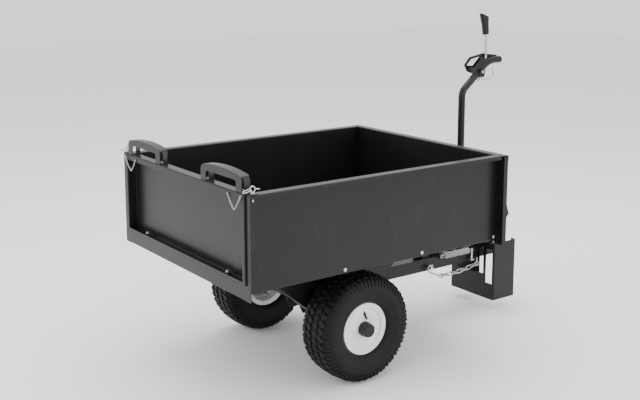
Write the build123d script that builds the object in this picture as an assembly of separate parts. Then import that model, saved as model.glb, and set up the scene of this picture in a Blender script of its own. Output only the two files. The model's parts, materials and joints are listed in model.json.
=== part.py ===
"""Two-wheeled tipping cart with a lift-out tailgate, a drawbar and a release lever on a mast.

X runs forward to the hitch, Y to the left and Z up. The ground is at Z = 0.
Stations along the cart are given from the bed's rear face and moved to the middle at export.
"""
import os
from math import cos, hypot, radians, sin

from build123d import *

os.makedirs("parts", exist_ok=True)

# ---- driving sizes, in millimetres -------------------------------------------------------
bed_length = 1107.0
bed_width = 877.0
bed_top = 741.0
sill_bottom = 405.0
panel_bottom = 419.0
flange = 34.5          # outward flange round the bed's rim
rim_lip = 13.0         # short lip turned down from that flange
sheet = 2.0            # sheet steel of the bed
bend = 2.0             # inside bend radius of the sheet

axle_station = 503.0
tyre_radius = 190.5
tyre_width = 150.0
track_half = 312.0     # middle of each tyre from the centre line
rim_flange_r = 90.0
rim_half = 53.7        # middle of the rim to the outside of its flange
bead_r = 76.2
axle_r = 16.0
stub_r = 12.7
hub_r = 20.0

drawbar_width = 76.0
drawbar_bottom = 207.0
drawbar_height = 51.0
drawbar_wall = 3.0

stand_station = 1374.0
stand_width = 253.0
stand_depth = 127.0
stand_bottom = 46.0
stand_top = 291.0
stand_wall = 4.0

hitch_nose = 1558.0
hitch_height = 372.0
hitch_hole_r = 8.5
hitch_gap = 34.0       # clear height between the two hitch plates

mast_station = 1291.0
mast_r = 14.3
mast_top = 1037.0
mast_low_bend = 916.0
mast_high_bend = 1436.0
lever_pivot_x = 1384.0
lever_grip_top = 1224.0

gate_depth = 34.0      # tray depth of the tailgate
gate_proud = 6.0       # how far it stands behind the side flanges
gate_lip = 14.0
gate_drop = 20.0       # lip below the gate's top face
handle_length = 250.0
handle_height = 62.0
handle_centre = 269.0
rear_sill_top = 455.0

pin_station = 16.0
pin_side = 428.0
pin_r = 4.0
pin_eye_r = 9.0
pin_ring_length = 32.0
pin_ring_width = 20.0
pin_ring_droop = 15.0  # degrees below level

run_gap = 0.05         # radial running fit
free_gap = 0.35        # between parts that move past each other
seat_gap = 0.3         # between a part and what it rests on across a joint
latch_gap = 1.2        # between the hook and the arc of the striker

wall_half = bed_width / 2 - flange          # outside of each side wall
inside_half = wall_half - sheet
half_width = bed_width / 2
front_wall = bed_length - flange - sheet    # rear surface of the front wall
floor_z = panel_bottom + sheet
axle_z = tyre_radius
ring_wire = 1.5
ring_front = pin_station - pin_eye_r + 2 + ring_wire + free_gap
ring_reach = pin_ring_length - 2 * ring_wire
rear_end = ring_front - ring_reach * cos(radians(pin_ring_droop)) - ring_wire
mid_station = (rear_end + hitch_nose) / 2


# ---- helpers ------------------------------------------------------------------------------
def block(x0, x1, y0, y1, z0, z1):
    """A box by its limits."""
    size = (x1 - x0, y1 - y0, z1 - z0)
    return Pos((x0 + x1) / 2, (y0 + y1) / 2, (z0 + z1) / 2) * Box(*size)


def rod(start, end, radius):
    """A round bar from start to end."""
    axis = Vector(*end) - Vector(*start)
    plane = Plane(origin=start, z_dir=axis)
    return plane * Cylinder(radius, axis.length, align=(Align.CENTER, Align.CENTER, Align.MIN))


def plate_xz(points, y0, y1):
    """A plate of the given outline in the X-Z plane, from y0 to y1."""
    outline = make_face(Polyline(*[(x, y0, z) for x, z in points], close=True))
    return extrude(outline, amount=y1 - y0, dir=(0, 1, 0))


def plate_yz(points, x0, x1):
    """A plate of the given outline in the Y-Z plane, from x0 to x1."""
    outline = make_face(Polyline(*[(x0, y, z) for y, z in points], close=True))
    return extrude(outline, amount=x1 - x0, dir=(1, 0, 0))


def folded(points, thickness, radius):
    """The section of a folded sheet whose middle line runs through the points."""
    return trace(FilletPolyline(*points, radius=radius + thickness / 2), line_width=thickness)


def folded_along_x(points, thickness, x0, x1, radius=bend):
    """Folded sheet: points are (y, z) of the middle line, extruded from x0 to x1."""
    section = Plane(origin=(x0, 0, 0), x_dir=(0, 1, 0), z_dir=(1, 0, 0)) * folded(points, thickness, radius)
    return extrude(section, amount=x1 - x0, dir=(1, 0, 0))


def folded_along_y(points, thickness, y0, y1, radius=bend):
    """Folded sheet: points are (x, z) of the middle line, extruded from y0 to y1."""
    section = Plane(origin=(0, y0, 0), x_dir=(1, 0, 0), z_dir=(0, -1, 0)) * folded(points, thickness, radius)
    return extrude(section, amount=y1 - y0, dir=(0, 1, 0))


def tube_path(points, radii, radius):
    """A round bar along straight runs joined by arcs."""
    path = FilletPolyline(*points, radius=radii)
    start = Plane(origin=path @ 0, z_dir=path % 0)
    return sweep(start * Circle(radius), path=path)


def mirrored(shape):
    """The same shape on the other side of the centre line."""
    return mirror(shape, about=Plane.XZ)


def hex_bolt(head_at, direction, shank_r, length, head_h=None):
    """A hexagon-headed bolt: the head stands on head_at and the shank runs along direction."""
    head_h = head_h or shank_r * 1.3
    plane = Plane(origin=head_at, z_dir=direction)
    head = extrude(plane * RegularPolygon(shank_r * 1.75, 6), amount=-head_h)
    shank = extrude(plane * Circle(shank_r), amount=length)
    return head + shank


def hex_nut(at, direction, shank_r, height):
    """A nut whose bearing face is at the point and whose body runs along direction."""
    plane = Plane(origin=at, z_dir=direction)
    return extrude(plane * (RegularPolygon(shank_r * 1.75, 6) - Circle(shank_r)), amount=height)


def carriage_bolt(head_at, direction, shank_r, length):
    """A domed bolt: the dome stands on head_at and the shank runs along direction."""
    plane = Plane(origin=head_at, z_dir=direction)
    head_r = shank_r * 2.1
    dome_h = shank_r * 0.9
    ball_r = (head_r ** 2 + dome_h ** 2) / (2 * dome_h)
    ball = plane * Pos(0, 0, ball_r - dome_h) * Sphere(ball_r)
    dome = ball & (plane * Pos(0, 0, -dome_h / 2) * Cylinder(head_r + 1, dome_h))
    return dome + extrude(plane * Circle(shank_r), amount=length)


def oval_link(centre, along, across, length, width, wire_r):
    """One chain link: a closed oval of round wire in the plane of along and across."""
    straight = length - width
    frame = Plane(origin=centre, x_dir=along, z_dir=Vector(*along).cross(Vector(*across)))
    bend_r = width / 2 - wire_r
    right = Line((-straight / 2, -bend_r), (straight / 2, -bend_r))
    nose = ThreePointArc(right @ 1, (straight / 2 + bend_r, 0), (straight / 2, bend_r))
    left = Line(nose @ 1, (-straight / 2, bend_r))
    tail = ThreePointArc(left @ 1, (-straight / 2 - bend_r, 0), right @ 0)
    path = frame * Wire([right.edge(), nose.edge(), left.edge(), tail.edge()])
    pen = Plane(origin=path @ 0, z_dir=path % 0)
    return sweep(pen * Circle(wire_r), path=path)


def hanging_points(start, end, sag, count):
    """Points evenly spread along a parabola that sags between two ends, link by link."""
    first, last = Vector(*start), Vector(*end)
    points = []
    for step in range(count + 1):
        share = step / count
        point = first + (last - first) * share
        points.append(Vector(point.X, point.Y, point.Z - 4 * sag * share * (1 - share)))
    return points


def chain(points, width, wire_r, first_turn):
    """Links from point to point, each turned a quarter from the one before it."""
    links = []
    for index, (here, there) in enumerate(zip(points, points[1:])):
        along = (there - here).normalized()
        side = along.cross(Vector(0, 0, 1)).normalized()
        turn = first_turn + 90 * (index % 2)
        across = side.rotate(Axis((0, 0, 0), tuple(along)), turn)
        length = (there - here).length + 4 * wire_r + 0.6
        links.append(oval_link((here + there) / 2, tuple(along), tuple(across), length, width, wire_r))
    return links


def lathe_y(points, centre_y, outward):
    """Turn a closed (y, r) outline about the axle line; y counts outward from centre_y."""
    outline = Polyline(*[(axle_station, centre_y + outward * y, axle_z + r) for y, r in points], close=True)
    return revolve(make_face(outline), axis=Axis((axle_station, 0, axle_z), (0, 1, 0)), revolution_arc=360)


nodes = {}


def keep(name, *shapes):
    """Store the separate solids of one named piece."""
    solids = []
    for shape in shapes:
        solids += [shape] if isinstance(shape, Solid) else list(shape.solids())
    nodes[name] = Pos(-mid_station, 0, 0) * Compound(children=solids)


# ---- drawbar, axle yoke and hitch -----------------------------------------------------------
yoke_plate = 6.0
yoke_rear = axle_station - 48
bush_wall = 4.0
drawbar_top = drawbar_bottom + drawbar_height
drawbar_half = drawbar_width / 2
foot_bolt_r = 4.2
foot_bolts = [(dx, dy) for dx in (-42, 42) for dy in (-20, 20)]


def make_drawbar():
    """Square tube with two plates round the axle at its rear end."""
    outer = block(yoke_rear, stand_station, -drawbar_half, drawbar_half, drawbar_bottom, drawbar_top)
    inner_half = drawbar_half - drawbar_wall
    bore = block(yoke_rear, stand_station, -inner_half, inner_half,
                 drawbar_bottom + drawbar_wall, drawbar_top - drawbar_wall)
    tube = outer - bore
    for dx, dy in foot_bolts:
        x = mast_station + dx
        tube -= rod((x, dy, drawbar_top - drawbar_wall - 1), (x, dy, drawbar_top + 1), foot_bolt_r)
    keep("drawbar", tube)

    cheek = [(yoke_rear, drawbar_top), (axle_station + 140, drawbar_top), (axle_station + 110, drawbar_bottom),
             (axle_station + 34, axle_z - 30), (axle_station - 34, axle_z - 30), (yoke_rear, axle_z)]
    bush_outer = axle_r + bush_wall
    yoke_end = drawbar_half + yoke_plate
    hole = rod((axle_station, drawbar_half - 1, axle_z), (axle_station, yoke_end + 1, axle_z), bush_outer)
    left = plate_xz(cheek, drawbar_half, yoke_end) - hole
    keep("yoke_plates", left, mirrored(left))

    bush = rod((axle_station, drawbar_half, axle_z), (axle_station, yoke_end + 2, axle_z), bush_outer)
    bush += rod((axle_station, yoke_end, axle_z), (axle_station, yoke_end + 2, axle_z), bush_outer + 5)
    bush -= rod((axle_station, 0, axle_z), (axle_station, yoke_end + 5, axle_z), axle_r + run_gap)
    keep("yoke_bushes", bush, mirrored(bush))


stand_half = stand_width / 2
stand_front = stand_station + stand_depth
stand_return = 24.0
slot_top = drawbar_top + 4


def make_stand():
    """Front channel: a rear web with two sides, open at the front, that carries the hitch."""
    half_wall = stand_wall / 2
    path = [(stand_front - half_wall, -stand_half + stand_return), (stand_front - half_wall, -stand_half + half_wall),
            (stand_station + half_wall, -stand_half + half_wall), (stand_station + half_wall, stand_half - half_wall),
            (stand_front - half_wall, stand_half - half_wall), (stand_front - half_wall, stand_half - stand_return)]
    section = Plane.XY.offset(stand_bottom) * folded(path, stand_wall, 3)
    channel = extrude(section, amount=stand_top - stand_bottom)
    web = (stand_station - 1, stand_station + stand_wall + 1)
    for side in (1, -1):
        inner, outer = sorted((side * (stand_half - 48.5), side * (stand_half - 9.5)))
        channel -= block(*web, inner, outer, stand_bottom + 67, slot_top)
        inner, outer = sorted((side * (drawbar_half + 4), side * (stand_half - 60.5)))
        channel -= block(*web, inner, outer, stand_bottom + 102, slot_top)
    keep("stand_channel", channel)

    web_leg = drawbar_bottom - 56
    wedge = [(stand_station - 150, drawbar_bottom), (stand_station, drawbar_bottom), (stand_station, web_leg),
             (stand_station - 20, web_leg)]
    left = plate_xz(wedge, drawbar_half - 12, drawbar_half - 6)
    keep("stand_gussets", left, mirrored(left))


cheek_inner = 24.0
cheek_plate = 6.0
hitch_plate = 8.0
hitch_hole_x = hitch_nose - 34
cheek_rear = stand_station + stand_wall
hitch_bolt_r = 5.0
hitch_bolts = ((cheek_rear + 30, stand_top - 40), (cheek_rear + 84, stand_top - 40))


def make_hitch():
    """Two pointed cheeks rising from the stand with a pair of drilled plates between them."""
    outline = [(cheek_rear, stand_top - 80), (stand_front - stand_wall, stand_top - 80),
               (stand_front - stand_wall, stand_top + 14), (hitch_nose, hitch_height),
               (hitch_nose - 30, 458), (hitch_nose - 58, 470), (cheek_rear, 430)]
    left = plate_xz(outline, cheek_inner, cheek_inner + cheek_plate)
    for x, z in hitch_bolts:
        left -= rod((x, cheek_inner - 1, z), (x, cheek_inner + cheek_plate + 1, z), hitch_bolt_r)
    keep("hitch_cheeks", left, mirrored(left))

    plates = []
    for low in (hitch_height - hitch_gap / 2 - hitch_plate, hitch_height + hitch_gap / 2):
        slab = block(stand_front - 40, hitch_nose - 14, -cheek_inner, cheek_inner, low, low + hitch_plate)
        slab -= rod((hitch_hole_x, 0, low - 1), (hitch_hole_x, 0, low + hitch_plate + 1), hitch_hole_r)
        plates.append(slab)
    keep("hitch_plates", *plates)

    bridge = block(cheek_rear, cheek_rear + 5, -cheek_inner, cheek_inner, stand_top - 80, 424)
    keep("hitch_bridge", bridge)


# ---- mast, guard and release lever ----------------------------------------------------------
foot_plate = 6.0
foot_top = drawbar_top + foot_plate
mast_wall = 2.2
mast_line = [(mast_station, 0, foot_top), (mast_station, 0, mast_low_bend), (mast_high_bend, 0, mast_top - 1),
             (stand_front - 1, 0, mast_top)]
lean = (mast_top - 1 - mast_low_bend) / (mast_high_bend - mast_station)
lever_pivot_z = mast_low_bend + lean * (lever_pivot_x - mast_station)
lever_bolt_r = 4.0
lever_rod_r = 5.0
lever_slot = 6.0       # half width of the slot through the mast
ear_thickness = 4.0


def solid_mast(radius):
    """The mast as a solid bar: straight up, leaning forward, then level over the hitch."""
    path = FilletPolyline(*mast_line, radius=(50, 105))
    return sweep(Plane(origin=path @ 0, z_dir=path % 0) * Circle(radius), path=path)


def make_mast():
    tube = solid_mast(mast_r) - solid_mast(mast_r - mast_wall)
    along = Vector(1, 0, lean).normalized()
    slot_frame = Plane(origin=(lever_pivot_x, 0, lever_pivot_z), x_dir=tuple(along), z_dir=(0, -1, 0))
    tube -= slot_frame * Pos(22, 0, 0) * Box(96, 2 * mast_r + 6, 2 * lever_slot)
    tube -= rod((lever_pivot_x, -30, lever_pivot_z), (lever_pivot_x, 30, lever_pivot_z), lever_bolt_r)
    keep("mast", tube)

    path = FilletPolyline(*mast_line, radius=(50, 105))
    end = Plane(origin=path @ 1, z_dir=path % 1)
    keep("mast_plug", extrude(end * Circle(mast_r), amount=3) + extrude(end * Circle(mast_r - mast_wall), amount=-12))

    foot = block(mast_station - 55, mast_station + 55, -32, 32, drawbar_top, foot_top)
    foot += rod((mast_station, 0, foot_top), (mast_station, 0, foot_top + 46), mast_r + 4)
    foot -= rod((mast_station, 0, foot_top), (mast_station, 0, foot_top + 50), mast_r)
    bolts = []
    for dx, dy in foot_bolts:
        at = (mast_station + dx, dy, foot_top)
        foot -= rod(at, (at[0], at[1], drawbar_top - 1), foot_bolt_r)
        bolts.append(hex_bolt(at, (0, 0, -1), foot_bolt_r, foot_plate + drawbar_wall + 6))
    keep("mast_foot", foot)

    for x, z in hitch_bolts:
        outer = cheek_inner + cheek_plate
        bolts.append(hex_bolt((x, -outer, z), (0, 1, 0), hitch_bolt_r, 2 * outer + 9))
        bolts.append(hex_nut((x, outer, z), (0, 1, 0), hitch_bolt_r, 7))
    keep("frame_bolts", *bolts)


guard_sheet = 3.0
guard_half = lever_rod_r + 3.0


def make_guard():
    """Hand guard: a far plate with a D-shaped hole and a lower near plate, the lever between them."""
    x0, z0 = lever_pivot_x, lever_pivot_z
    far = [(x0 - 30, z0 - 8), (x0 - 58, z0 + 2), (x0 - 76, z0 + 30), (x0 - 47, z0 + 60), (x0 + 28, z0 + 73),
           (x0 + 112, z0 + 62), (x0 + 106, z0 + 48), (x0 + 48, z0 + 28)]
    hole = [(x0 - 62, z0 + 28), (x0 - 36, z0 + 52), (x0 + 12, z0 + 60), (x0 - 28, z0 + 24)]
    near = [(x0 - 30, z0 - 10), (x0 - 52, z0), (x0 - 62, z0 + 20), (x0 - 34, z0 + 20), (x0 + 6, z0 + 58),
            (x0 + 36, z0 + 52), (x0 + 70, z0 + 44)]
    mast_bar = solid_mast(mast_r)
    far_plate = plate_xz(far, guard_half, guard_half + guard_sheet)
    far_plate -= plate_xz(hole, guard_half - 1, guard_half + guard_sheet + 1)
    near_plate = plate_xz(near, -guard_half - guard_sheet, -guard_half)
    shapes = []
    for shape in (far_plate, near_plate):
        pieces = (shape - mast_bar).solids()
        shapes.append(max(pieces, key=lambda piece: piece.volume))
    brace = block(x0 - 58, x0 - 54, -guard_half, guard_half, z0 + 6, z0 + 16)
    keep("guard_plate", shapes[0] + shapes[1] + brace)


def make_lever():
    """Release lever on a cross bolt through the mast, with its grip above the guard."""
    x0, z0 = lever_pivot_x, lever_pivot_z
    outer = mast_r + ear_thickness
    ear = [(x0 - 15, z0 - 22), (x0 + 15, z0 - 22), (x0 + 19, z0 + 4), (x0 + 4, z0 + 13), (x0 - 13, z0 + 6)]
    ears = []
    for y0, y1 in ((mast_r, outer), (-outer, -mast_r)):
        ears.append(plate_xz(ear, y0, y1) - rod((x0, y0 - 1, z0), (x0, y1 + 1, z0), lever_bolt_r))
    keep("lever_bracket", *ears)

    bolt = hex_bolt((x0, -outer, z0), (0, 1, 0), lever_bolt_r, 2 * outer + 9, head_h=6)
    keep("lever_bolt", bolt, hex_nut((x0, outer, z0), (0, 1, 0), lever_bolt_r, 6))

    half_tongue = 4.0
    bent = (x0 + 38, 0, 1046)
    grip_base = (x0 + 34, 0, 1144)
    grip_tip = (x0 + 26, 0, lever_grip_top - 14)
    shank = tube_path([(x0, 0, z0), bent, grip_base, grip_tip], (30, 90), lever_rod_r)
    hub = rod((x0, -half_tongue, z0), (x0, half_tongue, z0), 10)
    tail = block(x0 - 6, x0 + 6, -half_tongue, half_tongue, z0 - 40, z0)
    lever = hub + tail + shank
    lever -= rod((x0, -20, z0), (x0, 20, z0), lever_bolt_r + run_gap)
    keep("lever_rod", lever)

    axis = (Vector(*grip_tip) - Vector(*grip_base)).normalized()
    base = Plane(origin=grip_base, x_dir=(axis.Z, 0, -axis.X), z_dir=tuple(axis))
    top = Plane(origin=(x0 + 22, 0, lever_grip_top - 2), x_dir=(0.94, 0, -0.34), z_dir=(0.34, 0, 0.94))
    low = loft([base * RectangleRounded(25, 21, 7), base.offset(40) * RectangleRounded(28, 23, 8)])
    high = loft([base.offset(40) * RectangleRounded(28, 23, 8), top * RectangleRounded(44, 24, 9)])
    keep("lever_grip", low + high - tube_path([(x0, 0, z0), bent, grip_base, grip_tip], (30, 90), lever_rod_r))

    side = -outer + 2.5
    start = (x0 + 4, side, z0 - 22)
    link = tube_path([start, (x0 + 4, side, z0 - 36), (x0 + 68, side, z0 - 26), (x0 + 64, side, z0 + 10)],
                     (4, 6), 2.4)
    keep("release_link", link)


# ---- rest, latch, spring and safety chain ---------------------------------------------------
latch_x = bed_length + 39
latch_z = drawbar_top + 58
latch_shaft_r = 9.0
latch_inner = 9.0
latch_cheek = 5.0
strike_x = bed_length + 5
strike_z = 440.0
strike_r = 5.0
spring_y = -(drawbar_half + 14)
spring_z = drawbar_top
spring_r = 12.5
spring_wire = 1.6
spring_rear = 1163.0
spring_front = 1299.0
spring_turns = 26
anchor_x = 1318.0
anchor_pin_r = 5.0
chain_y = -(drawbar_half + 14)
chain_wire = 2.8
chain_links = 7
eye_r = 9.0
eye_wire = 3.4
stow_x = 1086.0
stow_z = 222.0
stow_r = 4.0


def make_latch():
    """Rest post under the bed's front edge, and the hook that catches the bed's striker."""
    post_x0 = front_wall - 6
    post_x1 = bed_length - 8
    post_top = sill_bottom - seat_gap - 14
    wall = 3.0
    post = block(post_x0, post_x1, -28, 28, drawbar_top, post_top)
    post -= block(post_x0 + wall, post_x1 + 1, -28 + wall, 28 - wall, drawbar_top + wall, post_top - wall)
    keep("rest_post", post)
    keep("rest_pad", block(post_x0 + 2, post_x1 - 4, -25, 25, post_top, sill_bottom - seat_gap))

    outline = [(latch_x - 34, drawbar_top), (latch_x + 34, drawbar_top), (latch_x + 15, latch_z + 15),
               (latch_x - 15, latch_z + 15)]
    bore = rod((latch_x, -40, latch_z), (latch_x, 40, latch_z), latch_shaft_r + run_gap)
    cheek = plate_xz(outline, latch_inner, latch_inner + latch_cheek) - bore
    base = block(latch_x - 34, latch_x + 34, -latch_inner, latch_inner, drawbar_top, drawbar_top + 4)
    keep("latch_bracket", cheek + base + mirrored(cheek))

    reach = hypot(strike_x - axle_station, strike_z - axle_z) + strike_r + latch_gap
    nose_low = strike_z + strike_r + 1
    nose_x = axle_station + (reach ** 2 - (nose_low - axle_z) ** 2) ** 0.5
    hook = [(latch_x - 12, latch_z), (latch_x - 19, nose_low), (nose_x, nose_low), (nose_x + 2, nose_low + 8),
            (latch_x - 16, nose_low + 16), (latch_x - 2, nose_low + 8), (latch_x + 12, latch_z)]
    arm_outer = -spring_y - spring_wire - 0.4
    arm = [(latch_x - 11, latch_z), (latch_x + 11, latch_z), (latch_x + 9, spring_z - 10), (latch_x - 5, spring_z - 10)]
    far_end = latch_inner + latch_cheek + 0.4
    piece = plate_xz(hook, -4, 4) + plate_xz(arm, -arm_outer, -arm_outer + 4)
    piece += rod((latch_x, -arm_outer, latch_z), (latch_x, far_end, latch_z), latch_shaft_r)
    piece += rod((latch_x, far_end, latch_z), (latch_x, far_end + 4, latch_z), latch_shaft_r + 4)
    keep("latch_hook", piece)

    ear = block(front_wall + sheet, strike_x + 4, 12, 16, strike_z - 12, strike_z + 12)
    bar = rod((strike_x, -12, strike_z), (strike_x, 12, strike_z), strike_r)
    keep("bed_striker", ear, mirrored(ear), bar)


def make_spring():
    """Tension spring beside the drawbar, hooked on a standing pin at its front end."""
    length = spring_front - spring_rear
    mean_r = spring_r - spring_wire
    helix = Helix(length / spring_turns, length, mean_r, center=(spring_rear, spring_y, spring_z), direction=(1, 0, 0))
    coils = sweep(Plane(origin=helix @ 0, z_dir=helix % 0) * Circle(spring_wire), path=helix, is_frenet=True)
    rear_x = latch_x + 4
    eye = 6.0
    pin_clear = anchor_pin_r + spring_wire + 0.4
    rear_hook = Pos(rear_x, spring_y, spring_z) * Rot(90, 0, 0) * Torus(eye, spring_wire)
    front_hook = Pos(anchor_x, spring_y, spring_z) * Torus(pin_clear, spring_wire)
    rear_start = helix @ 0
    front_start = helix @ 1
    rear_leg = rod(tuple(rear_start), (rear_x + eye, spring_y, spring_z), spring_wire)
    front_leg = rod(tuple(front_start), (anchor_x - pin_clear, spring_y, spring_z), spring_wire)
    keep("latch_spring", coils + rear_leg + front_leg + rear_hook + front_hook)

    shelf_low = spring_z - 44
    pin = rod((anchor_x, spring_y, shelf_low + 5), (anchor_x, spring_y, spring_z + 7), anchor_pin_r)
    shelf = block(anchor_x - 12, anchor_x + 12, spring_y - 9, -drawbar_half, shelf_low, shelf_low + 5)
    keep("spring_anchor", pin, shelf)


def make_chain():
    """Safety chain stowed along the drawbar: eye at the front, slip hook on a stud at the rear."""
    eye_x = anchor_x + 32
    eye_z = stow_z - 30
    eye = Pos(eye_x, chain_y, eye_z) * Rot(90, 0, 0) * Torus(eye_r, eye_wire)
    root_z = drawbar_bottom + 9
    eye += rod((eye_x, chain_y, eye_z + eye_r), (eye_x, chain_y, root_z + eye_wire), eye_wire)
    eye += rod((eye_x, chain_y, root_z), (eye_x, -drawbar_half, root_z), eye_wire)
    stud = rod((stow_x, -drawbar_half, stow_z), (stow_x, chain_y - 10, stow_z), stow_r)
    stud += rod((stow_x, chain_y - 10, stow_z), (stow_x, chain_y - 13, stow_z), stow_r + 4)
    keep("chain_eyes", eye, stud)

    hook_r = 3.4
    lie = stow_z + stow_r + hook_r + seat_gap
    hook_eye = (stow_x + 64, chain_y, stow_z - 45)
    start = (hook_eye[0] - eye_r, chain_y, hook_eye[2] + 2)
    bar = tube_path([start, (stow_x - 6, chain_y, stow_z - 17), (stow_x - 12, chain_y, lie),
                     (stow_x + 14, chain_y, lie)], (14, 8), hook_r)
    ring = Pos(*hook_eye) * Rot(90, 0, 0) * Torus(eye_r, hook_r)
    keep("chain_hook", bar + ring)

    gap = eye_wire + 2 * chain_wire + 0.3 - chain_wire
    first = (eye_x - eye_r + gap - chain_wire, chain_y, eye_z)
    last = (hook_eye[0] + eye_r - gap + chain_wire, chain_y, hook_eye[2])
    keep("safety_chain", *chain(hanging_points(first, last, 6, chain_links), 20, chain_wire, 0))


# ---- bed ------------------------------------------------------------------------------------
rear_leg = 36.0
front_flange_x = bed_length - 20
side_bolt_z = 432.0
bolt_r = 3.2
side_bolts = (387.0, 724.0, front_wall + sheet + 1.75 * bolt_r + 0.1)
stud_x = 12.0
stud_y = 282.0
stud_r = 6.0


def make_side_panel():
    """Left side panel: inward foot, wall and outward rim flange, with a flange at each end."""
    mid = sheet / 2
    under_cap = bed_top - sheet - bend - 0.2
    section = [(inside_half - 24, panel_bottom + mid), (wall_half - mid, panel_bottom + mid),
               (wall_half - mid, bed_top - mid), (half_width - mid, bed_top - mid),
               (half_width - mid, bed_top - rim_lip)]
    panel = folded_along_x(section, sheet, 0, front_wall - seat_gap)
    panel -= block(-1, sheet + bend, inside_half - 30, inside_half, panel_bottom - 1, floor_z + 1)
    panel += block(front_wall - 1, front_flange_x, inside_half, wall_half, panel_bottom, under_cap)
    panel += block(0, sheet, inside_half, half_width, sill_bottom, bed_top)
    panel += block(front_flange_x - sheet, front_flange_x, inside_half, half_width, sill_bottom, under_cap)
    panel += block(front_flange_x - sheet, bed_length - sheet - 0.5, half_width - sheet, half_width,
                   sill_bottom, under_cap)
    panel -= rod((pin_station, pin_side, bed_top - 30), (pin_station, pin_side, bed_top + 1), pin_r + free_gap)
    for x in side_bolts:
        panel -= rod((x, inside_half - 1, side_bolt_z), (x, wall_half + 1, side_bolt_z), bolt_r)
    return panel


def make_bed():
    left = make_side_panel()
    keep("side_panel_left", left)
    keep("side_panel_right", mirrored(left))

    mid = sheet / 2
    line = [(front_wall + 26, sill_bottom + mid), (front_wall + mid, sill_bottom + mid),
            (front_wall + mid, bed_top - mid), (bed_length - mid, bed_top - mid),
            (bed_length - mid, bed_top - 20)]
    front = folded_along_y(line[:3] + [(bed_length - 4, bed_top - mid)], sheet, -inside_half, inside_half)
    front += folded_along_y([(front_wall + sheet, bed_top - mid)] + line[3:], sheet, -half_width, half_width)
    for side in (1, -1):
        inner, outer = sorted((side * (inside_half - sheet), side * inside_half))
        front += block(front_wall + mid, front_wall + 15, inner, outer, panel_bottom + 2, bed_top - 30)
        x = side_bolts[-1]
        front -= rod((x, side * (inside_half + 1), side_bolt_z), (x, side * (inside_half - 3), side_bolt_z), bolt_r)
    keep("front_panel", front)

    edge = inside_half - mid
    section = [(-edge, floor_z + 34), (-edge, floor_z + mid), (edge, floor_z + mid), (edge, floor_z + 34)]
    floor = folded_along_x(section, sheet, rear_leg + sheet + 0.3, front_wall)
    for x in side_bolts[:2]:
        floor -= rod((x, -inside_half - 1, side_bolt_z), (x, inside_half + 1, side_bolt_z), bolt_r)
    keep("floor_pan", floor)

    sill_line = [(18, sill_bottom + mid), (mid, sill_bottom + mid), (mid, rear_sill_top - mid),
                 (rear_leg + mid, rear_sill_top - mid), (rear_leg + mid, floor_z + mid)]
    sill = folded_along_y(sill_line, sheet, -inside_half, inside_half)
    for side in (1, -1):
        sill -= rod((stud_x, side * stud_y, rear_sill_top - 5), (stud_x, side * stud_y, rear_sill_top + 1), stud_r + 0.6)
    keep("rear_sill", sill)

    bolts, nuts = [], []
    for x in side_bolts:
        for side in (1, -1):
            bolts.append(carriage_bolt((x, side * wall_half, side_bolt_z), (0, -side, 0), bolt_r, 14))
            nuts.append(hex_nut((x, side * (inside_half - sheet), side_bolt_z), (0, -side, 0), bolt_r, 6.5))
    keep("panel_bolts", *bolts)
    keep("panel_nuts", *nuts)

    ribs = []
    for x in (axle_station - 230, axle_station + 230):
        rib_line = [(x - 40, floor_z - 1.5), (x - 22, floor_z - 1.5), (x - 22, floor_z - 26),
                    (x + 22, floor_z - 26), (x + 22, floor_z - 1.5), (x + 40, floor_z - 1.5)]
        ribs.append(folded_along_y(rib_line, 3, -bracket_y + bracket_flange + 0.3, bracket_y - bracket_flange - 0.3, 2))
    keep("floor_ribs", *ribs)


bracket_y = 212.0
bracket_sheet = 4.0
bracket_reach = 347.0  # half length along the floor
bracket_foot = 48.0
bracket_flange = 42.0
bracket_low = 174.0


def make_axle_brackets():
    """Left axle bracket: a V-shaped plate with its sloping edges and top flanged inward."""
    outer_y = bracket_y + bracket_sheet
    inner_y = bracket_y - bracket_flange
    outline = [(axle_station - bracket_reach, floor_z), (axle_station + bracket_reach, floor_z),
               (axle_station + bracket_foot, bracket_low), (axle_station - bracket_foot, bracket_low)]
    plate = plate_xz(outline, bracket_y, outer_y)
    slope = (bracket_reach - bracket_foot) / (floor_z - bracket_low)
    across = bracket_sheet * hypot(1, slope)
    for side in (1, -1):
        strip = [(axle_station + side * bracket_reach, floor_z), (axle_station + side * bracket_foot, bracket_low),
                 (axle_station + side * (bracket_foot - across), bracket_low),
                 (axle_station + side * (bracket_reach - across), floor_z)]
        plate += plate_xz(strip, inner_y, outer_y)
    roof_half = bracket_reach - across
    plate += block(axle_station - roof_half, axle_station + roof_half, inner_y, outer_y,
                   floor_z - bracket_sheet, floor_z)
    plate -= rod((axle_station, inner_y - 5, axle_z), (axle_station, outer_y + 5, axle_z), axle_r)
    keep("axle_bracket_left", plate)
    keep("axle_bracket_right", mirrored(plate))


axle_shoulder = 228.0
axle_end = 386.0
washer_t = 3.0
hub_inner_y = axle_shoulder + washer_t + seat_gap
hub_outer_y = 372.0
cotter_r = 2.0


def make_axle():
    """Stepped axle with a thrust washer each side of each hub and a cotter at each end."""
    bar = rod((axle_station, -axle_shoulder, axle_z), (axle_station, axle_shoulder, axle_z), axle_r)
    bar += rod((axle_station, -axle_end, axle_z), (axle_station, axle_end, axle_z), stub_r)
    pieces = []
    for side in (1, -1):
        y = side * (axle_end - 6)
        bar -= rod((axle_station, y, axle_z - 20), (axle_station, y, axle_z + 20), cotter_r)
        pieces.append(rod((axle_station, y, axle_z - 17), (axle_station, y, axle_z + 17), cotter_r))
        for start in (axle_shoulder, hub_outer_y + seat_gap):
            ring = rod((axle_station, side * start, axle_z), (axle_station, side * (start + washer_t), axle_z), 17.5)
            ring -= rod((axle_station, side * (start - 1), axle_z),
                        (axle_station, side * (start + washer_t + 1), axle_z), stub_r)
            pieces.append(ring)
    keep("axle", bar)
    keep("axle_retainers", *pieces)


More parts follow.
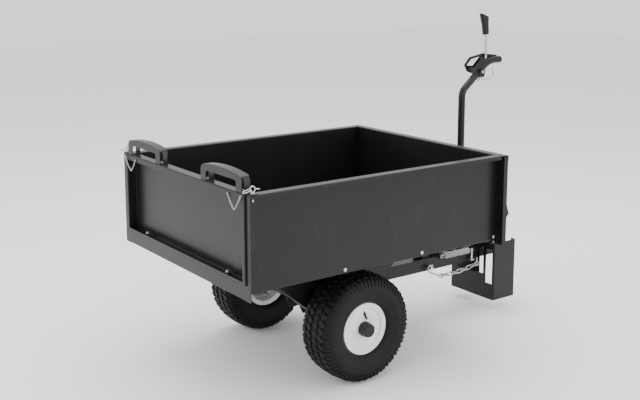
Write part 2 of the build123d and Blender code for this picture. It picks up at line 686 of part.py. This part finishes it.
# ---- wheels ---------------------------------------------------------------------------------
rim_sheet = 2.6
disc_half = 48.0       # middle of the wheel to the disc by the hub
cap_half = 81.0
cap_r = 26.0


def make_wheel(side, word):
    """One wheel: tyre, pressed rim and disc on a hub tube, bushes, dust cap and valve stem."""
    centre = side * track_half
    half = tyre_width / 2
    shoulder, bulge = half - 17, 136.0
    flange_y = rim_half - 2.5
    seat_y = flange_y - 0.9
    skin = 11.0
    outer = [ThreePointArc((-shoulder, tyre_radius - 5.5), (0, tyre_radius), (shoulder, tyre_radius - 5.5)),
             ThreePointArc((shoulder, tyre_radius - 5.5), (half, bulge), (flange_y, rim_flange_r + 2)),
             Polyline((flange_y, rim_flange_r + 2), (seat_y, bead_r + 2.6), (seat_y - 2.6, bead_r),
                      (seat_y - 12, bead_r), (seat_y - 8, rim_flange_r)),
             ThreePointArc((seat_y - 8, rim_flange_r), (half - skin, bulge), (shoulder - skin, tyre_radius - 17)),
             ThreePointArc((shoulder - skin, tyre_radius - 17), (0, tyre_radius - 12),
                           (skin - shoulder, tyre_radius - 17)),
             ThreePointArc((skin - shoulder, tyre_radius - 17), (skin - half, bulge), (8 - seat_y, rim_flange_r)),
             Polyline((8 - seat_y, rim_flange_r), (12 - seat_y, bead_r), (2.6 - seat_y, bead_r),
                      (-seat_y, bead_r + 2.6), (-flange_y, rim_flange_r + 2)),
             ThreePointArc((-flange_y, rim_flange_r + 2), (-half, bulge), (-shoulder, tyre_radius - 5.5))]
    edges = []
    for line in outer:
        edges += list(line.edges())
    frame = Plane(origin=(axle_station, centre, axle_z), x_dir=(0, side, 0), z_dir=(side, 0, 0))
    turning = Axis((axle_station, 0, axle_z), (0, 1, 0))
    keep("tyre_" + word, revolve(frame * make_face(Wire(edges)), axis=turning, revolution_arc=360))

    seat = bead_r - rim_sheet / 2
    well = seat - 9
    barrel_line = [(rim_half - 1, rim_flange_r), (rim_half - 2, seat), (14, seat), (8, well), (-8, well),
                   (-14, seat), (2 - rim_half, seat), (1 - rim_half, rim_flange_r)]
    barrel = revolve(frame * folded(barrel_line, rim_sheet, 2), axis=turning, revolution_arc=360)
    band = seat - rim_sheet
    disc_mid = disc_half - rim_sheet / 2
    disc_line = [(26, band), (disc_half - 5, band), (disc_half - 4, band - 14), (disc_mid, 34), (disc_mid, hub_r)]
    disc = revolve(frame * folded(disc_line, rim_sheet, 3), axis=turning, revolution_arc=360)
    bush_r = stub_r + 3.3
    hub = rod((axle_station, side * hub_inner_y, axle_z), (axle_station, side * hub_outer_y, axle_z), hub_r)
    hub -= rod((axle_station, 0, axle_z), (axle_station, side * (hub_outer_y + 1), axle_z), bush_r)

    root = (axle_station + 2, centre + side * (disc_half - 10), axle_z + band - 12)
    tip = (axle_station + 5, centre + side * (disc_half + 9), axle_z + cap_r + 9)
    lie = Plane(origin=root, z_dir=Vector(*tip) - Vector(*root))
    stem = rod(root, tip, 3.8) + lie * Cylinder(5.6, 16, align=(Align.CENTER, Align.CENTER, Align.MIN))
    keep("rim_" + word, barrel, disc - stem, hub)
    keep("valve_stem_" + word, stem)

    bushes = []
    for y0, y1 in ((hub_inner_y, hub_inner_y + 28), (hub_outer_y - 28, hub_outer_y)):
        bush = rod((axle_station, side * y0, axle_z), (axle_station, side * y1, axle_z), bush_r)
        bush -= rod((axle_station, 0, axle_z), (axle_station, side * (y1 + 1), axle_z), stub_r + run_gap)
        bushes.append(bush)
    keep("hub_bushes_" + word, *bushes)

    cap_line = [(disc_half, hub_r), (disc_half, cap_r), (disc_half + 14, cap_r), (disc_half + 17, cap_r - 2.5),
                (cap_half - 4, cap_r - 2.5), (cap_half, cap_r - 7), (cap_half, 0), (cap_half - 3, 0),
                (cap_half - 3, hub_r - 2), (cap_half - 5, hub_r)]
    keep("dust_cap_" + word, lathe_y(cap_line, centre, side))


# ---- tailgate, handles, pins and lanyards -----------------------------------------------------
gate_top = bed_top + seat_gap
gate_low = rear_sill_top + seat_gap
gate_half = inside_half - 2
gate_front = gate_depth - gate_proud + 2
ear_top = gate_top + sheet


def make_gate():
    """Tailgate: a tray of folded sheet open to the rear, with lips over the side flanges."""
    mid = sheet / 2
    rear = -gate_proud + mid
    lip_y = gate_half + gate_lip
    plan = [(-0.35, lip_y), (rear, lip_y), (rear, gate_half - mid), (gate_front - mid, gate_half - mid),
            (gate_front - mid, mid - gate_half), (rear, mid - gate_half), (rear, -lip_y), (-0.35, -lip_y)]
    section = Plane.XY.offset(gate_low) * folded(plan, sheet, 1.5)
    panel = extrude(section, amount=gate_top - gate_low)
    top = [(rear, gate_top - gate_drop), (rear, gate_top - mid), (gate_front - mid, gate_top - mid),
           (gate_front - mid, gate_top - 20)]
    panel += folded_along_y(top, sheet, -gate_half, gate_half)
    shelf = [(rear, gate_low + 9), (rear, gate_low + mid), (gate_front - mid, gate_low + mid),
             (gate_front - mid, gate_low + 20)]
    panel += folded_along_y(shelf, sheet, -gate_half, gate_half)
    screws, studs = [], []
    for side in (1, -1):
        inner, outer = sorted((side * (handle_centre + handle_length / 2 + 1), side * half_width))
        ear = block(2, gate_front, inner, outer, gate_top, ear_top)
        ear -= rod((pin_station, side * pin_side, gate_top - 1), (pin_station, side * pin_side, ear_top + 1),
                   pin_r + free_gap)
        panel += ear
        stud_at = (stud_x, side * stud_y)
        panel -= rod((*stud_at, gate_low - 1), (*stud_at, gate_low + sheet + 1), stud_r)
        studs.append(rod((*stud_at, gate_low - 26), (*stud_at, gate_low + sheet + 14), stud_r))
        studs.append(hex_nut((*stud_at, gate_low + sheet), (0, 0, 1), stud_r, 9))
        for end in (1, -1):
            at = (handle_mid_x, side * handle_centre + end * screw_half)
            panel -= rod((*at, gate_top - sheet - 1), (*at, gate_top + 1), screw_r)
            screws.append(hex_bolt((*at, gate_top - sheet), (0, 0, 1), screw_r, sheet + handle_foot + 3, head_h=3.5))
        tab = (-gate_proud, side * lanyard_y, gate_top - 12)
        head = (tab[0] - 5.2, tab[1], tab[2])
        screws.append(rod(tab, head, tab_r) + rod(head, (head[0] - 1.2, head[1], head[2]), 2 * tab_r))
    keep("tailgate_panel", panel)
    keep("gate_screws", *screws)
    keep("gate_studs", *studs)


handle_rear = -2.0
handle_deep = 32.0
handle_mid_x = handle_rear + handle_deep / 2
handle_skin = 3.0
handle_foot = 4.0
handle_post = 32.0
screw_half = handle_length / 2 - 20
screw_r = 2.6
lanyard_y = 324.0
tab_r = 1.0


def arch(length, height, drop, base, x):
    """Half-rounded outline standing on the gate: straight ends, an arched top and rounded shoulders."""
    half = length / 2
    rise = base + height
    shoulder = rise - drop
    ends = [(-half, base), (half, base), (half, shoulder - 12)]
    lower = Polyline(*[(x, y, z) for y, z in ends])
    right = ThreePointArc((x, half, shoulder - 12), (x, half - 7, shoulder + 1), (x, half - 22, shoulder + 6))
    top = ThreePointArc((x, half - 22, shoulder + 6), (x, 0, rise), (x, 22 - half, shoulder + 6))
    left = ThreePointArc((x, 22 - half, shoulder + 6), (x, 7 - half, shoulder + 1), (x, -half, shoulder - 12))
    close = Line((x, -half, shoulder - 12), (x, -half, base))
    edges = list(lower.edges()) + [right.edge(), top.edge(), left.edge(), close.edge()]
    return make_face(Wire(edges))


def make_handle(side):
    """Hollow arched handle: two plates joined by a top strip, with feet under its posts."""
    x1 = handle_rear + handle_deep
    body = extrude(arch(handle_length, handle_height, 14, gate_top, handle_rear), amount=handle_deep, dir=(1, 0, 0))
    core_high = handle_height - handle_skin - handle_foot
    core_face = arch(handle_length + 8, core_high, 14, gate_top + handle_foot, handle_rear + handle_skin)
    core = extrude(core_face, amount=handle_deep - 2 * handle_skin, dir=(1, 0, 0))
    body -= core
    half_gap = handle_length / 2 - handle_post
    finger = Pos(handle_mid_x, 0, gate_top + 17.5) * Box(handle_deep + 20, 2 * half_gap, 35)
    finger = fillet(finger.edges().filter_by(Axis.X).group_by(Axis.Z)[-1], 10)
    body -= finger
    for end in (1, -1):
        body -= rod((handle_mid_x, end * screw_half, gate_top - 1),
                    (handle_mid_x, end * screw_half, gate_top + handle_foot + 1), screw_r)
    return Pos(0, side * handle_centre, 0) * body


def make_pin(side):
    """Pull pin with a shoulder, a standing eye with a tail, and a loose ring behind it."""
    y = side * pin_side
    shoulder = ear_top + seat_gap
    eye_z = shoulder + 3 + pin_eye_r + 2
    low = bed_top - 22
    shank = rod((pin_station, y, low), (pin_station, y, eye_z - pin_eye_r), pin_r)
    shank += rod((pin_station, y, shoulder), (pin_station, y, shoulder + 3), pin_r + 3)
    shank += Pos(pin_station, y, eye_z) * Rot(90, 0, 0) * Torus(pin_eye_r, 2)
    shank += rod((pin_station + pin_eye_r, y, eye_z), (pin_station + pin_eye_r + 16, y, eye_z - 2), 2)
    droop = radians(pin_ring_droop)
    along = (-cos(droop), 0, -sin(droop))
    half_reach = ring_reach / 2
    centre = (ring_front - half_reach * cos(droop), y, eye_z - half_reach * sin(droop))
    ring = oval_link(centre, along, (0, 1, 0), pin_ring_length, pin_ring_width, ring_wire)
    return shank, ring


lanyard_links = 18
lanyard_wire = 0.8


def make_lanyard(side):
    """Fine chain hanging from the gate's lip and rising to just below the pull pin's ring."""
    x = -gate_proud - 3.1
    low = (x, side * 361, gate_top - 56)
    end = (x - 3, side * 406, bed_top - 3)
    near = hanging_points((x, side * (lanyard_y - 0.5), gate_top - 10.9), low, 5, lanyard_links // 2)
    far = hanging_points(low, end, 5, lanyard_links // 2)
    return chain(near + far[1:], 5.6, lanyard_wire, 90)


makers = (make_drawbar, make_stand, make_hitch, make_mast, make_guard, make_lever, make_latch, make_spring,
          make_chain, make_bed, make_axle_brackets, make_axle, make_gate)
for maker in makers:
    maker()
for side, word in ((1, "left"), (-1, "right")):
    make_wheel(side, word)
    keep("gate_handle_" + word, make_handle(side))
    keep("pin_" + word, *make_pin(side))
    keep("lanyard_" + word, *make_lanyard(side))
for name, shape in nodes.items():
    export_step(shape, "parts/" + name + ".step")
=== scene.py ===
import json
import math
import bpy
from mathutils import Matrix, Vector


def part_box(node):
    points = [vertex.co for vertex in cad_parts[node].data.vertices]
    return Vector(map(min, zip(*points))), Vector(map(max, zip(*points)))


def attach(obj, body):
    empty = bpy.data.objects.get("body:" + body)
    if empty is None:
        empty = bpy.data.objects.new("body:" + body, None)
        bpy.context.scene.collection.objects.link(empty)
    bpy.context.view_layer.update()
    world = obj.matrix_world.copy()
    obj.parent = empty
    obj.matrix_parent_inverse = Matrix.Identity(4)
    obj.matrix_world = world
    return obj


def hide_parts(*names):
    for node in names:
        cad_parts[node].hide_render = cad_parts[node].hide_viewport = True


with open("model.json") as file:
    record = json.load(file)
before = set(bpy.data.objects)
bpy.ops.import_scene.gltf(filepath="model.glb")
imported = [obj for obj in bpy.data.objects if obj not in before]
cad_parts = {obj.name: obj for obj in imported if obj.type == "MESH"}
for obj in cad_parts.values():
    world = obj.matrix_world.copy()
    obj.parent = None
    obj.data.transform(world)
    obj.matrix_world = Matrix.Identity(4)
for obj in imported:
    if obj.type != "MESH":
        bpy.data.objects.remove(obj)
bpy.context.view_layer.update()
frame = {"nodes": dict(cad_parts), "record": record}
print("frame loaded,", len(frame["nodes"]), "nodes")


# small helpers for working as in the editor

def clearSelection():
    if bpy.context.object and bpy.context.object.mode == "EDIT":
        bpy.ops.object.mode_set(mode="OBJECT")
    for item in bpy.context.selected_objects:
        item.select_set(False)


def pick(item):
    clearSelection()
    item.select_set(True)
    bpy.context.view_layer.objects.active = item


def settle(item):
    # the object's place goes into its mesh, so it sits at the origin
    pick(item)
    bpy.ops.object.transform_apply(location=True, rotation=True, scale=True)


def middle(node):
    low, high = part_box(node)
    return Vector([(a + b) / 2 for a, b in zip(low, high)])


def drawLine(name, points):
    # one point pulled along the outline, as with repeated extrudes
    clearSelection()
    bpy.ops.mesh.primitive_plane_add(size=0.01, location=points[0])
    item = bpy.context.object
    item.name = name
    bpy.ops.object.transform_apply(location=True, rotation=True, scale=True)
    bpy.ops.object.mode_set(mode="EDIT")
    bpy.ops.mesh.select_all(action="SELECT")
    bpy.ops.mesh.merge(type="CENTER")
    for here, there in zip(points, points[1:]):
        step = Vector(there) - Vector(here)
        bpy.ops.mesh.extrude_region_move(TRANSFORM_OT_translate={"value": step})
    return item


def turnOutline(name, outline, centre, outward, steps):
    # outline is (distance outward from the wheel's middle, radius) and is spun about the axle
    points = [(centre.x, centre.y + outward * across, centre.z + radius) for across, radius in outline]
    points.append(points[0])
    item = drawLine(name, points)
    bpy.ops.mesh.select_all(action="SELECT")
    bpy.ops.mesh.spin(steps=steps, angle=2 * math.pi, center=centre, axis=(0, 1, 0))
    bpy.ops.mesh.select_all(action="SELECT")
    bpy.ops.mesh.remove_doubles(threshold=0.00005)
    bpy.ops.mesh.normals_make_consistent(inside=False)
    bpy.ops.object.mode_set(mode="OBJECT")
    return item


def softShade(item, degrees):
    pick(item)
    bpy.ops.object.shade_smooth_by_angle(angle=math.radians(degrees))


def startEmpty(name, centre):
    # an empty mesh left in edit mode, ready for repeated blocks
    clearSelection()
    bpy.ops.mesh.primitive_cube_add(size=0.001, location=centre)
    item = bpy.context.object
    item.name = name
    settle(item)
    bpy.ops.object.mode_set(mode="EDIT")
    bpy.ops.mesh.select_all(action="SELECT")
    bpy.ops.mesh.delete(type="VERT")
    return item


def repeatRound(centre, count, edge, segments):
    # softens the edges of what has been modelled once, then copies it round the axle
    bpy.ops.mesh.select_all(action="SELECT")
    bpy.ops.mesh.bevel(offset=edge, segments=segments, affect="EDGES")
    bpy.ops.mesh.select_all(action="SELECT")
    bpy.ops.mesh.spin(steps=count, dupli=True, angle=2 * math.pi, center=centre, axis=(0, 1, 0))
    bpy.ops.mesh.select_all(action="SELECT")
    bpy.ops.mesh.remove_doubles(threshold=0.00002)
    bpy.ops.mesh.normals_make_consistent(inside=False)
    bpy.ops.object.mode_set(mode="OBJECT")


# finishes

def newFinish(name, colour, roughness, metallic=0.0):
    finish = bpy.data.materials.new(name)
    finish.use_nodes = True
    shader = finish.node_tree.nodes["Principled BSDF"]
    shader.inputs["Base Color"].default_value = (*colour, 1)
    shader.inputs["Roughness"].default_value = roughness
    shader.inputs["Metallic"].default_value = metallic
    return finish, finish.node_tree, shader


def grain(tree, scale, detail=3.0, stretch=(1, 1, 1)):
    place = tree.nodes.new("ShaderNodeTexCoord")
    mapping = tree.nodes.new("ShaderNodeMapping")
    mapping.inputs["Scale"].default_value = stretch
    noise = tree.nodes.new("ShaderNodeTexNoise")
    noise.inputs["Scale"].default_value = scale
    noise.inputs["Detail"].default_value = detail
    tree.links.new(place.outputs["Object"], mapping.inputs["Vector"])
    tree.links.new(mapping.outputs["Vector"], noise.inputs["Vector"])
    return noise.outputs["Fac"]


def ramp(tree, source, low, high, darkColour, lightColour):
    node = tree.nodes.new("ShaderNodeValToRGB")
    node.color_ramp.elements[0].position = low
    node.color_ramp.elements[1].position = high
    node.color_ramp.elements[0].color = (*darkColour, 1)
    node.color_ramp.elements[1].color = (*lightColour, 1)
    tree.links.new(source, node.inputs["Fac"])
    return node.outputs["Color"]


def remap(tree, source, low, high):
    node = tree.nodes.new("ShaderNodeMapRange")
    node.inputs["To Min"].default_value = low
    node.inputs["To Max"].default_value = high
    tree.links.new(source, node.inputs["Value"])
    return node.outputs["Result"]


def mixColours(tree, amount, first, second):
    node = tree.nodes.new("ShaderNodeMix")
    node.data_type = "RGBA"
    tree.links.new(amount, node.inputs["Factor"])
    tree.links.new(first, node.inputs["A"])
    tree.links.new(second, node.inputs["B"])
    return node.outputs["Result"]


def addBump(tree, shader, source, strength, distance):
    bump = tree.nodes.new("ShaderNodeBump")
    bump.inputs["Strength"].default_value = strength
    bump.inputs["Distance"].default_value = distance
    tree.links.new(source, bump.inputs["Height"])
    tree.links.new(bump.outputs["Normal"], shader.inputs["Normal"])


def speckle(tree, source, threshold, width):
    # only the crests of a noise, for chips and dust
    return ramp(tree, source, threshold, threshold + width, (0, 0, 0), (1, 1, 1))


def makePowderCoat():
    look = {"base": (0.0055, 0.0056, 0.006), "faded": (0.008, 0.0082, 0.0088),
            "scuffed": (0.014, 0.0143, 0.015), "peel": 900, "roughness": (0.28, 0.4), "sheen": 0.3}
    finish, tree, shader = newFinish("blackPowderCoat", look["base"], 0.36)
    cloud = grain(tree, 3.5, 4)
    body = ramp(tree, cloud, 0.35, 0.75, look["base"], look["faded"])
    scuff = grain(tree, 38, 6, (1, 1, 0.25))
    worn = ramp(tree, scuff, 0.0, 1.0, look["base"], look["scuffed"])
    tree.links.new(mixColours(tree, speckle(tree, scuff, 0.62, 0.1), body, worn), shader.inputs["Base Color"])
    tree.links.new(remap(tree, cloud, *look["roughness"]), shader.inputs["Roughness"])
    shader.inputs["Specular IOR Level"].default_value = look["sheen"]
    addBump(tree, shader, grain(tree, look["peel"], 2), 0.22, 0.0002)
    return finish


def makeZinc():
    look = {"bright": (0.66, 0.66, 0.64), "dull": (0.4, 0.41, 0.42)}
    finish, tree, shader = newFinish("zincPlate", look["bright"], 0.3, 1.0)
    tone = ramp(tree, grain(tree, 60, 5), 0.3, 0.75, look["dull"], look["bright"])
    tree.links.new(tone, shader.inputs["Base Color"])
    tree.links.new(remap(tree, grain(tree, 140, 4), 0.22, 0.45), shader.inputs["Roughness"])
    addBump(tree, shader, grain(tree, 700, 3), 0.15, 0.0002)
    return finish


def makeBareSteel():
    look = {"turned": (0.42, 0.41, 0.4), "stain": (0.2, 0.17, 0.15)}
    finish, tree, shader = newFinish("turnedSteel", look["turned"], 0.35, 1.0)
    tone = ramp(tree, grain(tree, 25, 5), 0.3, 0.7, look["stain"], look["turned"])
    tree.links.new(tone, shader.inputs["Base Color"])
    addBump(tree, shader, grain(tree, 400, 2, (1, 8, 1)), 0.2, 0.0002)
    return finish


def makeWhiteRim():
    look = {"paint": (0.83, 0.84, 0.84), "dusty": (0.66, 0.66, 0.64)}
    finish, tree, shader = newFinish("whiteRimPaint", look["paint"], 0.28)
    dust = grain(tree, 26, 5)
    tree.links.new(ramp(tree, dust, 0.25, 0.6, look["dusty"], look["paint"]), shader.inputs["Base Color"])
    tree.links.new(remap(tree, dust, 0.34, 0.22), shader.inputs["Roughness"])
    shader.inputs["Coat Weight"].default_value = 0.25
    addBump(tree, shader, grain(tree, 500, 2), 0.1, 0.0002)
    return finish


def makeTyreRubber():
    look = {"rubber": (0.007, 0.007, 0.0075), "bloom": (0.012, 0.0118, 0.0115), "sheen": 0.16}
    finish, tree, shader = newFinish("tyreRubber", look["rubber"], 0.62)
    cloud = grain(tree, 14, 5)
    tree.links.new(ramp(tree, cloud, 0.35, 0.72, look["rubber"], look["bloom"]), shader.inputs["Base Color"])
    tree.links.new(remap(tree, cloud, 0.42, 0.66), shader.inputs["Roughness"])
    shader.inputs["Specular IOR Level"].default_value = look["sheen"]
    addBump(tree, shader, grain(tree, 650, 4), 0.35, 0.0003)
    return finish


def makeSoftRubber():
    look = {"rubber": (0.012, 0.012, 0.012), "worn": (0.028, 0.028, 0.027), "roughness": 0.55}
    finish, tree, shader = newFinish("blackRubber", look["rubber"], look["roughness"])
    tone = ramp(tree, grain(tree, 60, 4), 0.3, 0.7, look["rubber"], look["worn"])
    tree.links.new(tone, shader.inputs["Base Color"])
    addBump(tree, shader, grain(tree, 900, 3), 0.25, 0.0002)
    return finish


def makePlastic(name, base, light, roughness):
    finish, tree, shader = newFinish(name, base, roughness)
    look = {"cells": 1400, "sheen": 0.3}
    cells = grain(tree, look["cells"], 2)
    tree.links.new(ramp(tree, grain(tree, 18, 4), 0.3, 0.75, base, light), shader.inputs["Base Color"])
    gloss = remap(tree, grain(tree, 45, 3), roughness - 0.06, roughness + 0.08)
    tree.links.new(gloss, shader.inputs["Roughness"])
    shader.inputs["Specular IOR Level"].default_value = look["sheen"]
    addBump(tree, shader, cells, 0.3, 0.0003)
    return finish


powderCoat = makePowderCoat()
zinc = makeZinc()
bareSteel = makeBareSteel()
whiteRim = makeWhiteRim()
tyreRubber = makeTyreRubber()
softRubber = makeSoftRubber()
# the handles get a lighter copy of the black plastic: painted light standing in for the light falling on their
# tops
handlePlasticPaintedLight = makePlastic("handlePlasticPaintedLight", (0.011, 0.0113, 0.012), (0.018, 0.0184, 0.0195), 0.34)
capPlastic = makePlastic("capPlastic", (0.006, 0.006, 0.0065), (0.011, 0.011, 0.0115), 0.32)
bushNylon = makePlastic("bushNylon", (0.42, 0.38, 0.3), (0.5, 0.47, 0.4), 0.5)
finishBySlot = {
    "black_powder_coat": powderCoat, "zinc_steel": zinc, "axle_steel": bareSteel,
    "white_rim_paint": whiteRim, "tyre_rubber": tyreRubber, "black_rubber": softRubber,
    "black_plastic": capPlastic, "nylon_bush": bushNylon,
}
slotByNode = {part["node"]: part["material_slot"] for part in frame["record"]["subparts"]}
for node, item in frame["nodes"].items():
    finish = finishBySlot[slotByNode[node]]
    # the handles take the lighter copy of the black plastic, which is painted light
    if node.startswith("gate_handle_"):
        finish = handlePlasticPaintedLight
    item.data.materials.clear()
    item.data.materials.append(finish)
print("finishes assigned")


def dress(item, finish, body):
    item.data.materials.clear()
    item.data.materials.append(finish)
    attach(item, body)
    return item


# tyres

# the wall and the bead are (distance out from the middle, radius), from the shoulder inward
tyreForm = {
    "halfWidth": 0.075, "turns": 128, "crownPoints": 14, "shoulder": 0.017, "crownDrop": 0.0055,
    "wall": [(0.0625, 0.1765), (0.0675, 0.171), (0.0712, 0.163), (0.0738, 0.152), (0.0744, 0.1405),
             (0.0738, 0.1290), (0.0722, 0.1265), (0.0716, 0.1255), (0.0702, 0.118), (0.0672, 0.1085),
             (0.0628, 0.1002), (0.0588, 0.0962), (0.0576, 0.0958), (0.0552, 0.0938), (0.0535, 0.0922),
             (0.0508, 0.0918)],
    "bead": [(0.0501, 0.079), (0.0475, 0.0763), (0.0385, 0.0763), (0.0425, 0.09)],
}
treadForm = {
    "depth": 0.0055, "root": 0.002, "sunk": 0.0006, "pitches": 44, "blockLength": 0.0185, "blockWidth": 0.0225,
    "columns": (-0.047, -0.0157, 0.0157, 0.047), "slant": 26, "edge": 0.0016,
}
# each stretch of a shoulder rib is (distance out, radius, tilt in degrees, length)
ribForm = {
    "count": 68, "width": 0.0055, "thickness": 0.0042, "lift": 0.0016, "lap": 0.0035, "edge": 0.0009,
    "stretches": ((0.0615, 0.1792, 24, 0.0085), (0.0683, 0.1722, 57, 0.0100), (0.0722, 0.1625, 74, 0.0105)),
}


def makeCarcass(side, centre, radius):
    low = radius - treadForm["depth"]
    reach = tyreForm["halfWidth"] - tyreForm["shoulder"]
    crown = []
    for step in range(tyreForm["crownPoints"] + 1):
        across = -reach + 2 * reach * step / tyreForm["crownPoints"]
        crown.append((across, low - tyreForm["crownDrop"] * (across / reach) ** 2))
    sideWall = tyreForm["wall"] + tyreForm["bead"]
    outline = crown + sideWall + [(-across, height) for across, height in reversed(sideWall)]
    return turnOutline("tyre_" + side, outline, centre, 1, tyreForm["turns"])


def addBlock(centre, across, top, turn, length, width, depth, lean):
    # a block of rubber standing straight above the axle
    bpy.ops.mesh.select_all(action="DESELECT")
    bpy.ops.mesh.primitive_cube_add(size=1, location=(centre.x, centre.y + across, centre.z + top - depth / 2),
                                    rotation=(lean, 0, turn), scale=(length, width, depth))


def makeTread(side, centre, radius):
    tread = startEmpty("tread_" + side, centre)
    reach = tyreForm["halfWidth"] - tyreForm["shoulder"]
    halfPitch = math.pi / treadForm["pitches"]
    for index, across in enumerate(treadForm["columns"]):
        drop = tyreForm["crownDrop"] * (across / reach) ** 2
        turn = math.radians(treadForm["slant"] * (1 if index % 2 else -1))
        lean = -2 * tyreForm["crownDrop"] * across / reach ** 2
        addBlock(centre, across, radius - drop - treadForm["sunk"], turn, treadForm["blockLength"],
                 treadForm["blockWidth"], treadForm["depth"] + treadForm["root"], lean)
        if index % 2:
            # every other column sits half a pitch on, so the blocks interlock
            bpy.ops.transform.rotate(value=halfPitch, orient_axis="Y", orient_type="GLOBAL",
                                     center_override=centre)
    repeatRound(centre, treadForm["pitches"], treadForm["edge"], 2)
    return tread


def makeShoulderRibs(side, centre):
    ribs = startEmpty("shoulderRibs_" + side, centre)
    for outward in (1, -1):
        for across, height, tilt, length in ribForm["stretches"]:
            addBlock(centre, outward * across, height + ribForm["lift"], 0, ribForm["width"],
                     length + ribForm["lap"], ribForm["thickness"], -outward * math.radians(tilt))
    repeatRound(centre, ribForm["count"], ribForm["edge"], 1)
    return ribs


# pressed rims

# a rolled edge, the bead seat and a shallow dish with a raised ring round the hub
rimForm = {
    "turns": 128, "crease": 35,
    "outline": [
        (0.0498, 0.0902), (0.0512, 0.0912), (0.0532, 0.0911), (0.0541, 0.0897), (0.0540, 0.0876),
        (0.0528, 0.083), (0.0516, 0.0775), (0.0506, 0.0750), (0.0486, 0.0737), (0.0462, 0.0730),
        (0.0447, 0.0715), (0.0440, 0.0690), (0.0440, 0.0640), (0.0446, 0.0600), (0.0458, 0.0540),
        (0.0462, 0.0480), (0.0470, 0.0420), (0.0478, 0.0370), (0.0480, 0.0300), (0.0480, 0.0203),
        (0.0456, 0.0203), (0.0456, 0.0300), (0.0452, 0.0370), (0.0444, 0.0420), (0.0436, 0.0480),
        (0.0430, 0.0540), (0.0420, 0.0600), (0.0414, 0.0640), (0.0414, 0.0700), (0.0360, 0.0734),
        (0.0200, 0.0738), (0.0140, 0.0738), (0.0090, 0.0655), (-0.0090, 0.0655), (-0.0140, 0.0738),
        (-0.0480, 0.0738), (-0.0506, 0.0750), (-0.0528, 0.083), (-0.0541, 0.0897), (-0.0532, 0.0911),
        (-0.0512, 0.0912), (-0.0498, 0.0902), (-0.0502, 0.083), (-0.0490, 0.0762), (-0.0146, 0.0762),
        (-0.0096, 0.0680), (0.0096, 0.0680), (0.0146, 0.0762), (0.0490, 0.0762), (0.0502, 0.083),
    ],
}
hubForm = {"bore": 0.0165, "outer": 0.02, "chamfer": 0.0008, "turns": 64, "crease": 35}


def makeRim(side, centre, outward):
    rim = turnOutline("rim_" + side, rimForm["outline"], centre, outward, rimForm["turns"])
    softShade(rim, rimForm["crease"])
    return rim


def makeHubTube(side, centre, low, high):
    bore, outer, chamfer = hubForm["bore"], hubForm["outer"], hubForm["chamfer"]
    outline = [(low, bore), (low, outer - chamfer), (low + chamfer, outer),
               (high - chamfer, outer), (high, outer - chamfer), (high, bore)]
    hub = turnOutline("hubTube_" + side, outline, centre, 1, hubForm["turns"])
    softShade(hub, hubForm["crease"])
    return hub


wheelShade = {"carcass": 40, "blocks": 30}

for side, outward in (("left", 1), ("right", -1)):
    low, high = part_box("tyre_" + side)
    centre = middle("tyre_" + side)
    radius = (high[2] - low[2]) / 2
    body = "wheel_" + side
    carcass = makeCarcass(side, centre, radius)
    softShade(carcass, wheelShade["carcass"])
    tread = makeTread(side, centre, radius)
    ribs = makeShoulderRibs(side, centre)
    for piece in (tread, ribs):
        softShade(piece, wheelShade["blocks"])
    for piece in (carcass, tread, ribs):
        dress(piece, tyreRubber, body)
        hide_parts("tyre_" + side)
    rim = makeRim(side, centre, outward)
    hubLow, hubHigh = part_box("hub_bushes_" + side)
    hub = makeHubTube(side, centre, hubLow[1] - centre.y, hubHigh[1] - centre.y)
    for piece in (rim, hub):
        dress(piece, whiteRim, body)
        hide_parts("rim_" + side)
    print("wheel", side, "done")


# studio: floor, lights and camera

# each lamp is (place, size, power, what it faces)
studioForm = {
    "floorSize": 30, "paper": (0.94, 0.94, 0.94), "paperRoughness": 0.9, "sky": 1.35,
    "lamps": {
        "rearPanel": ((-4.2, 1.2, 2.3), (2.6, 2.2), 75, (-0.7, 0.0, 0.55)),
        "sidePanel": ((1.6, -4.6, 2.2), (3.2, 1.6), 70, (0.0, 0.0, 0.5)),
        "topPanel": ((0.2, 0.4, 4.2), (3.5, 3.5), 150, (0.0, 0.0, 0.4)),
    },
}
cameraForm = {"place": (-2.2733, -2.865, 1.4082), "pitch": 9.68, "heading": 54.012, "lens": 55.1,
              "shift": -0.1, "sensor": 36, "far": 100}


def makeStudio():
    clearSelection()
    bpy.ops.mesh.primitive_plane_add(size=studioForm["floorSize"], location=(0, 0, 0))
    floor = bpy.context.object
    floor.name = "studioFloor"
    finish, tree, shader = newFinish("studioFloorPaper", studioForm["paper"], studioForm["paperRoughness"])
    floor.data.materials.append(finish)
    world = bpy.data.worlds.new("studioWorld")
    bpy.context.scene.world = world
    world.use_nodes = True
    sky = world.node_tree.nodes["Background"]
    sky.inputs["Color"].default_value = (1, 1, 1, 1)
    sky.inputs["Strength"].default_value = studioForm["sky"]
    for name, (place, size, power, target) in studioForm["lamps"].items():
        light = bpy.data.lights.new(name, "AREA")
        light.shape = "RECTANGLE"
        light.size, light.size_y = size
        light.energy = power
        lamp = bpy.data.objects.new(name, light)
        bpy.context.scene.collection.objects.link(lamp)
        lamp.location = place
        lamp.rotation_euler = (Vector(target) - Vector(place)).to_track_quat("-Z", "Y").to_euler()


def makeCamera():
    data = bpy.data.cameras.new("shopCamera")
    data.sensor_width = cameraForm["sensor"]
    data.lens = cameraForm["lens"]
    data.shift_y = cameraForm["shift"]
    data.clip_end = cameraForm["far"]
    camera = bpy.data.objects.new("shopCamera", data)
    bpy.context.scene.collection.objects.link(camera)
    camera.location = cameraForm["place"]
    tilt = math.radians(90 - cameraForm["pitch"])
    camera.rotation_euler = (tilt, 0, math.radians(cameraForm["heading"] - 90))
    bpy.context.scene.camera = camera


makeStudio()
makeCamera()
print("studio ready")
